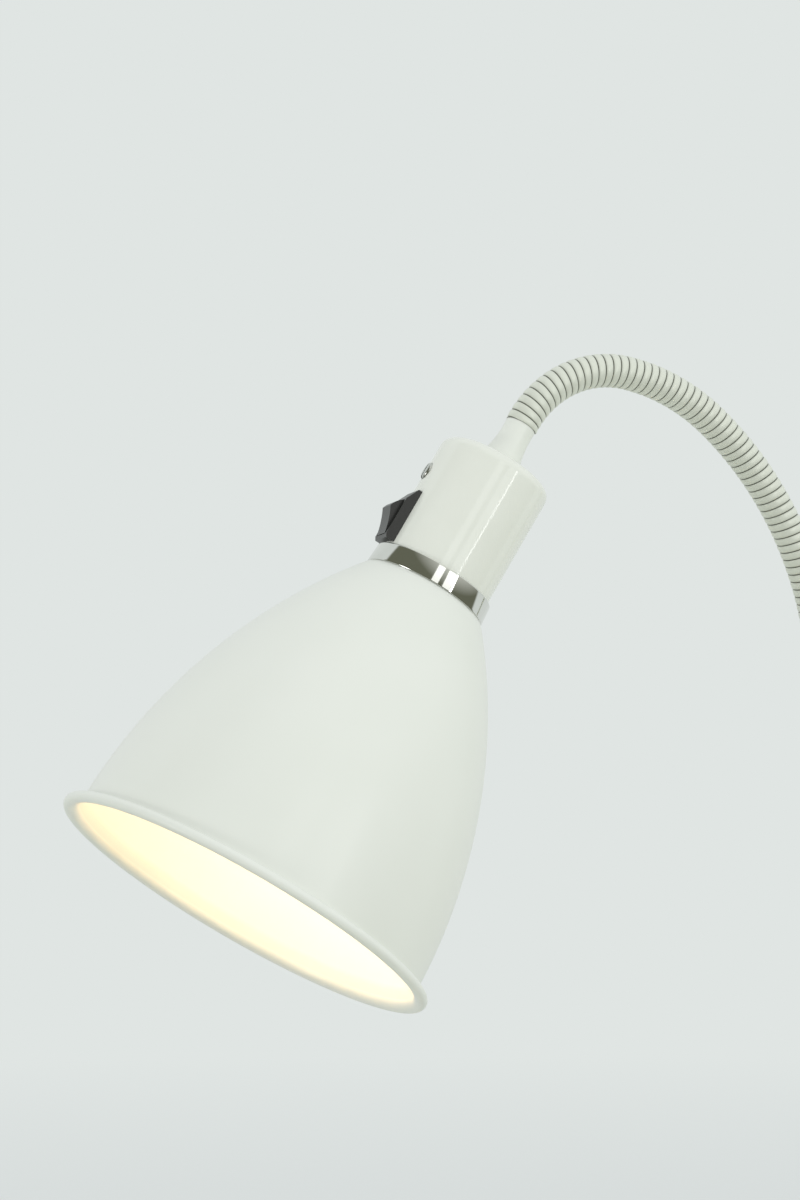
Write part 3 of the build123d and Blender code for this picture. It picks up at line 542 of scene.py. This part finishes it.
def band_profile():
    """Across one band, from groove to groove: (share of the pitch, radius in mm, share of painted groove shade).
    """
    edge = GROOVE_WIDTH / WIND_PITCH / 2
    crown, shoulder, floor = NECK_R, NECK_R - 0.12, NECK_R - GROOVE_DEPTH
    return [
        (0.0, floor, 1.0), (edge * 0.8, floor + 0.03, 0.9), (edge * 1.15, shoulder - 0.06, 0.35),
        (edge * 1.6, shoulder, 0.08), (0.28, crown - 0.03, 0.0), (0.5, crown, 0.0),
        (0.72, crown - 0.03, 0.0), (1 - edge * 1.6, shoulder, 0.08),
        (1 - edge * 1.15, shoulder - 0.06, 0.35), (1 - edge * 0.8, floor + 0.03, 0.9),
    ]


def wound_length(name, first_turn, last_turn, segments=48):
    """Some turns of the wound strip. Its rows follow the helix, so its ends lie in a groove."""
    pitch = WIND_PITCH * MM
    rows = [(turn, *row) for turn in range(first_turn, last_turn) for row in band_profile()]
    rows.append((last_turn, 0.0, NECK_R - GROOVE_DEPTH, 1.0))
    corners, groove_shade, faces = [], [], []
    for turn, share, radius, shade_share in rows:
        for k in range(segments + 1):
            along = (turn + share + k / segments) * pitch
            inside = along < 0 or along > NECK_LENGTH
            centre, heading = neck_spot(min(max(along, 0), NECK_LENGTH))
            angle = 2 * pi * k / segments
            side = Vector((-sin(heading), 0, cos(heading)))
            out = side * cos(angle) + ACROSS * sin(angle)
            corners.append(centre + out * (min(radius, NECK_R - 0.2) if inside else radius) * MM)
            groove_shade.append(shade_share)
    wide = segments + 1
    for row in range(len(rows) - 1):
        for k in range(segments):
            a, b = row * wide + k, (row + 1) * wide + k
            faces.append((a, a + 1, b + 1, b))
    piece = mesh_piece(name, corners, faces, 80)
    # the groove attribute carries the painted shade, 1 at the groove floor and 0 on the band's crown
    groove = piece.data.attributes.new("groove", "FLOAT", "POINT")
    groove.data.foreach_set("value", groove_shade)
    return piece


def neck():
    """Eight lengths of the wound strip, each running across one joint's place."""
    middles = [(BEND_AT[i] + BEND_AT[i + 1]) / 2 for i in range(7)]
    pitch = WIND_PITCH * MM
    cuts = [-1] + [round(middle / pitch) for middle in middles] + [int(NECK_LENGTH / pitch) + 1]
    for i in range(8):
        piece = wound_length(f"neck_winding_{i + 1}", cuts[i], cuts[i + 1])
        nodes = ["neck_tube_0", "neck_tube_1"] if i == 0 else [f"neck_tube_{i + 1}"]
        dress(piece, "neck_enamel", FINISHES["neck_enamel"], None, *nodes)
        stiff_end = 1.3 * pitch
        room = min(BEND_AT[i] - cuts[i] * pitch, cuts[i + 1] * pitch - BEND_AT[i]) - stiff_end
        reach = min(room, BEND_REACH * MM)
        start, end = neck_spot(BEND_AT[i] - reach)[0], neck_spot(BEND_AT[i] + reach)[0]
        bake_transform(piece)


# ================================================================ the clip's spring
def wire_piece(name, points, radius, segments=12):
    """A round wire along a line of points, its section carried along without twisting."""
    corners, faces = [], []
    side = None
    for i, point in enumerate(points):
        ahead = points[min(i + 1, len(points) - 1)] - points[max(i - 1, 0)]
        ahead.normalize()
        side = ahead.orthogonal() if side is None else side - ahead * side.dot(ahead)
        side.normalize()
        other = ahead.cross(side)
        for k in range(segments):
            angle = 2 * pi * k / segments
            corners.append(point + (side * cos(angle) + other * sin(angle)) * radius)
    for i in range(len(points) - 1):
        a, b = i * segments, (i + 1) * segments
        for k in range(segments):
            n = (k + 1) % segments
            faces.append((a + k, a + n, b + n, b + k))
    faces.append(tuple(reversed(range(segments))))
    faces.append(tuple(range(len(corners) - segments, len(corners))))
    return mesh_piece(name, corners, faces, 50)


def coil_spring():
    """The torsion spring: a leg under the upper lever, a close coil, and a leg on the lower one."""
    low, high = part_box("clip_spring")
    coil_r = high.z - PIVOT.z - SPRING_WIRE_R * MM
    leg_y = SPRING_LEG_Y * MM
    (near_x, near_z), (far_x, far_z) = SPRING_TIPS
    steps_per_turn = 28
    steps = int(SPRING_TURNS * steps_per_turn)
    points = [Vector((near_x * MM, -leg_y, near_z * MM))]
    for i in range(steps + 1):
        angle = pi / 2 - 2 * pi * SPRING_TURNS * i / steps
        points.append(Vector((PIVOT.x + coil_r * cos(angle), -leg_y + 2 * leg_y * i / steps,
                              PIVOT.z + coil_r * sin(angle))))
    points.append(Vector((far_x * MM, leg_y, far_z * MM)))
    piece = wire_piece("coil_spring", points, SPRING_WIRE_R * MM)
    dress(piece, "steel", FINISHES["steel"], None, "clip_spring")
    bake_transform(piece)


dress(bell_shade(), "white_enamel", FINISHES["white_enamel"], "head", "shade")
dress(trim_ring(), "chrome", FINISHES["chrome"], "head", "chrome_ring")
dress(bulb_ball(), "bulb_glass", FINISHES["bulb_glass"], "head", "bulb_glass")
dress(flared_ferrule(), "white_enamel", FINISHES["white_enamel"], "head", "head_ferrule")
neck()
coil_spring()

# ================================================================ floor, light and camera
BACKGROUND = "#E0E5E3"
CAMERA_YAW = radians(25)        # turned this far from straight along +Y
CAMERA_BACK = 1.50227           # metres from the shade's mouth, along the view
CAMERA_RIGHT = 0.04158
CAMERA_RISE = 0.08105
VIEW_ANGLE = radians(12)        # over the long side
STRIP_LENGTH, STRIP_AWAY = 0.9, 1.6         # metres
PANEL_WIDE, PANEL_AWAY, PANEL_WATTS = 0.6, 2.0, 9.0


def lowest_swing():
    """How low the clip's lower jaw reaches when it is wide open."""
    jaw = joints["jaw_open"]
    turn = Matrix.Rotation(radians(jaw["range_deg"][1]), 4, Vector(jaw["axis"]))
    corners = [corner.co for node in ("lower_lever", "lower_pad", "clip_cover")
               for corner in frame["nodes"][node].data.vertices]
    return min((turn @ (corner - PIVOT) + PIVOT).z for corner in corners)


def pale_floor():
    """A large floor just below the open jaw. It fades into its surroundings."""
    material, tree, place = begin("floor_painted_matt")
    near, far = 300.0, 1500.0
    reach = add(tree, "VectorMath", {"operation": "LENGTH"}, {0: place})
    fade = add(tree, "MapRange", {"From Min": near, "From Max": far}, {"Value": reach.outputs["Value"]})
    speckle = noise(tree, place, 2.0, 3.0)
    tone = between(tree, speckle, "#DEE1DF", "#E3E6E4")
    paths = add(tree, "LightPath")
    dim = add(tree, "Mix", {"data_type": "RGBA", 6: linear("#CBCEC5")},
              {0: paths.outputs["Is Camera Ray"], 7: tone})
    paint = add(tree, "BsdfDiffuse", {}, {"Color": dim.outputs[2]})
    air = add(tree, "Emission", {"Color": linear(BACKGROUND)})
    close(tree, add(tree, "MixShader", {}, {
        0: fade.outputs[0], 1: paint.outputs[0], 2: air.outputs[0]}))
    low = lowest_swing() - 1 * MM
    around = 64
    corners = [(r * cos(2 * pi * k / around), r * sin(2 * pi * k / around), low)
               for r in (0.9, 6.0) for k in range(around)]
    faces = [tuple(range(around))]
    faces += [(k, around + k, around + (k + 1) % around, (k + 1) % around) for k in range(around)]
    floor = mesh_piece("floor", corners, faces)
    floor.data.materials.append(material)
    floor.visible_glossy = False


RIGHT = Vector((cos(CAMERA_YAW), -sin(CAMERA_YAW), 0))
FORWARD = Vector((sin(CAMERA_YAW), cos(CAMERA_YAW), 0))


def surroundings():
    """Pale light all round, stronger from above and the right. Mirrors see a darker room in front."""
    world = bpy.data.worlds.new("studio")
    bpy.context.scene.world = world
    world.use_nodes = True
    tree = world.node_tree
    tree.nodes.clear()
    paths = add(tree, "LightPath")
    place = add(tree, "TexCoord")
    leans = []
    for axis, low, high in (
        (RIGHT * 0.6 + UP * 0.8, -1.0, 1.0), (FORWARD, 0.12, 0.2), (RIGHT * 0.6 + UP * 0.8, 0.45, 0.85),
    ):
        lean = add(tree, "VectorMath", {"operation": "DOT_PRODUCT", 1: axis},
                   {0: place.outputs["Generated"]})
        leans.append(add(tree, "MapRange", {"From Min": low, "From Max": high},
                         {"Value": lean.outputs["Value"]}).outputs[0])
    bright = ranged(tree, leans[0], 0.60, 1.00)
    side = between(tree, leans[2], "#6B6D5E", "#F4F6F0")
    room = add(tree, "Mix", {"data_type": "RGBA", 7: linear(BACKGROUND)}, {0: leans[1], 6: side})
    soft = add(tree, "Background", {"Color": linear("#F7FAFC")}, {"Strength": bright})
    seen = add(tree, "Background", {"Color": linear(BACKGROUND)})
    mirrored = add(tree, "Background", {}, {"Color": room.outputs[2]})
    glossy = add(tree, "MixShader", {}, {
        0: paths.outputs["Is Glossy Ray"], 1: soft.outputs[0], 2: mirrored.outputs[0]})
    shown = add(tree, "MixShader", {}, {
        0: paths.outputs["Is Camera Ray"], 1: glossy.outputs[0], 2: seen.outputs[0]})
    add(tree, "OutputWorld", {}, {"Surface": shown.outputs[0]})


def strip_light(name, turn, wide, glow):
    """A long light beside the viewer, parallel to the head's axis: one straight stripe on the ring."""
    near = (HEAD_UP * FORWARD.dot(HEAD_UP) - FORWARD).normalized()
    beside = HEAD_UP.cross(near)
    lean = FORWARD.dot(HEAD_UP) / sqrt(1 - FORWARD.dot(HEAD_UP) ** 2)
    away = (near * cos(radians(turn)) + beside * sin(radians(turn)) + HEAD_UP * lean).normalized()
    across = HEAD_UP.cross(away).normalized()
    light = bpy.data.lights.new(name, "AREA")
    light.shape = "RECTANGLE"
    light.size, light.size_y = wide, STRIP_LENGTH
    light.energy = glow * pi * wide * STRIP_LENGTH
    lamp = bpy.data.objects.new(name, light)
    lamp.matrix_world = Matrix((across, away.cross(across), away)).transposed().to_4x4()
    lamp.location = MOUTH + HEAD_UP * SHADE_TOP * MM + away * STRIP_AWAY
    lamp.visible_camera = False
    bpy.context.scene.collection.objects.link(lamp)


def mouth_panel():
    """A white panel low at the left, for the shade's left side and its mouth."""
    light = bpy.data.lights.new("mouth_panel", "AREA")
    light.size, light.energy = PANEL_WIDE, PANEL_WATTS
    lamp = bpy.data.objects.new("mouth_panel", light)
    toward = (RIGHT * 0.85 + FORWARD * 0.5 + UP * 0.1).normalized()
    lamp.location = MOUTH - toward * PANEL_AWAY
    lamp.rotation_euler = toward.to_track_quat("-Z", "Y").to_euler()
    lamp.visible_camera = False
    bpy.context.scene.collection.objects.link(lamp)


def camera():
    """A level camera, turned from straight along +Y."""
    lens = bpy.data.cameras.new("camera")
    lens.sensor_width = 36.0
    lens.lens = lens.sensor_width / 2 / tan(VIEW_ANGLE / 2)
    lens.clip_start, lens.clip_end = 0.05, 50.0
    eye = bpy.data.objects.new("camera", lens)
    eye.location = MOUTH + RIGHT * CAMERA_RIGHT + UP * CAMERA_RISE - FORWARD * CAMERA_BACK
    eye.rotation_euler = (pi / 2, 0, -CAMERA_YAW)
    bpy.context.scene.collection.objects.link(eye)
    bpy.context.scene.camera = eye


pale_floor()
surroundings()
strip_light("left_panel", 5, 0.36, 1.1)
strip_light("right_panel", 28, 0.42, 1.1)
strip_light("narrow_strip", 38, 0.07, 7.0)
mouth_panel()
camera()
bpy.context.scene.view_settings.view_transform = "Standard"
